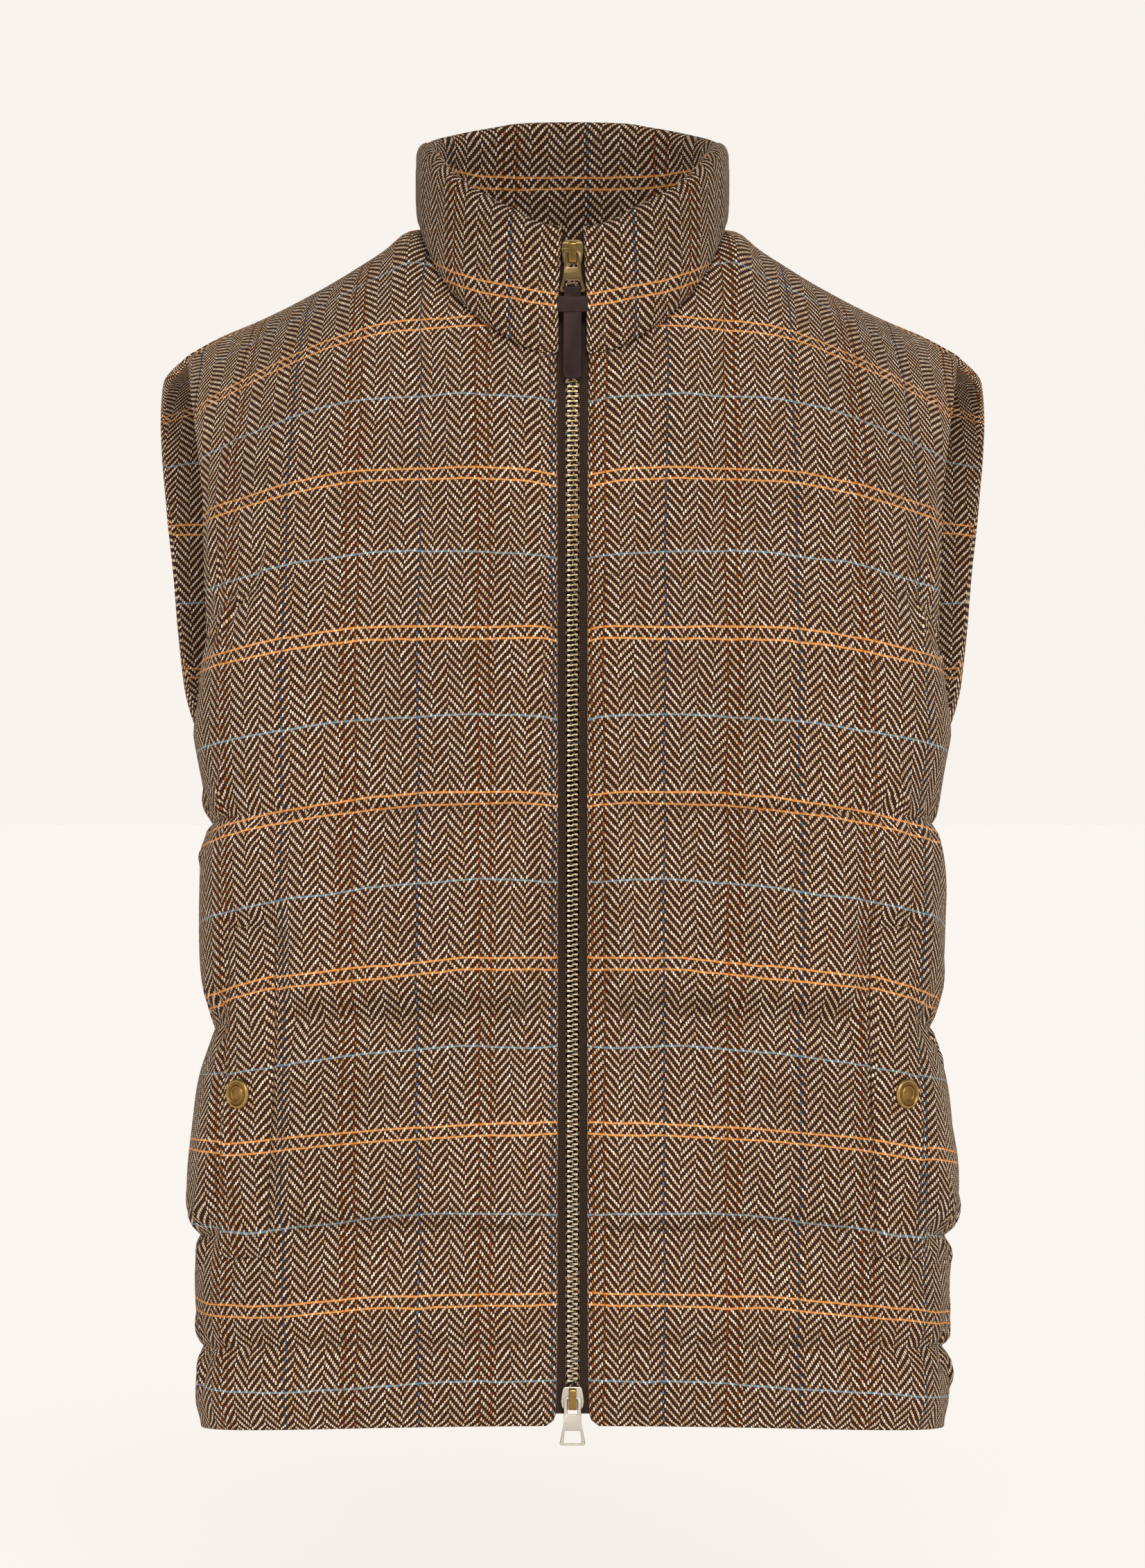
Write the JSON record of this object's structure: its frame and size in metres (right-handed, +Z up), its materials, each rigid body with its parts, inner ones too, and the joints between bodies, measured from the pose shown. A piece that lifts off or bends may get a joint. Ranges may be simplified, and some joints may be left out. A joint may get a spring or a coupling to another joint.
{
  "type": "quilted vest",
  "caption": "Sleeveless tweed vest with padded horizontal channels, a stand collar, a two-way front zip with hanging pulls, and snapped welt pockets at the sides.",
  "frame": {"origin": "midway between the two points where the collar meets the shoulders, where the vest rests on its wearer", "axes": "+X to the wearer's left, -Y to the wearer's front, +Z up"},
  "size_m": [0.482, 0.2372, 0.7628],
  "materials": {
    "tweed": "woollen herringbone with a windowpane overcheck, matt",
    "tweed_edge": "the same woollen cloth folded into a welt, matt",
    "tape_brown": "woven zip tape, matt",
    "old_brass": "antiqued and lightly polished on the edges",
    "pale_brass": "pale and satin, with brighter rims",
    "dark_leather": "dark brown, smooth, semi-matt"
  },
  "bodies": {
    "root": {"front_left": "tweed", "front_right": "tweed", "back": "tweed", "collar": "tweed", "pocket_welt_left": "tweed_edge", "pocket_welt_right": "tweed_edge", "zip_tape_left": "tape_brown", "zip_tape_right": "tape_brown", "zip_chain": "old_brass", "top_slider": "old_brass", "bottom_slider": "old_brass", "snap_left": "old_brass", "snap_right": "old_brass"},
    "top_tab": {"top_tab": "old_brass"},
    "leather_pull": {"leather_pull": "dark_leather"},
    "bottom_tab": {"bottom_tab": "pale_brass"}
  },
  "joints": [
    {"name": "top_tab_swing", "type": "hinge", "parent": "root", "child": "top_tab", "pos_m": [0, -0.1083, -0.0037], "axis": [-1, 0, 0], "range_deg": [0, 150]},
    {"name": "leather_pull_swing", "type": "hinge", "parent": "top_tab", "child": "leather_pull", "pos_m": [0, -0.1083, -0.0257], "axis": [-1, 0, 0], "range_deg": [0, 30]},
    {"name": "bottom_tab_swing", "type": "hinge", "parent": "root", "child": "bottom_tab", "pos_m": [0, -0.11685, -0.6409], "axis": [-1, 0, 0], "range_deg": [0, 150]}
  ]
}
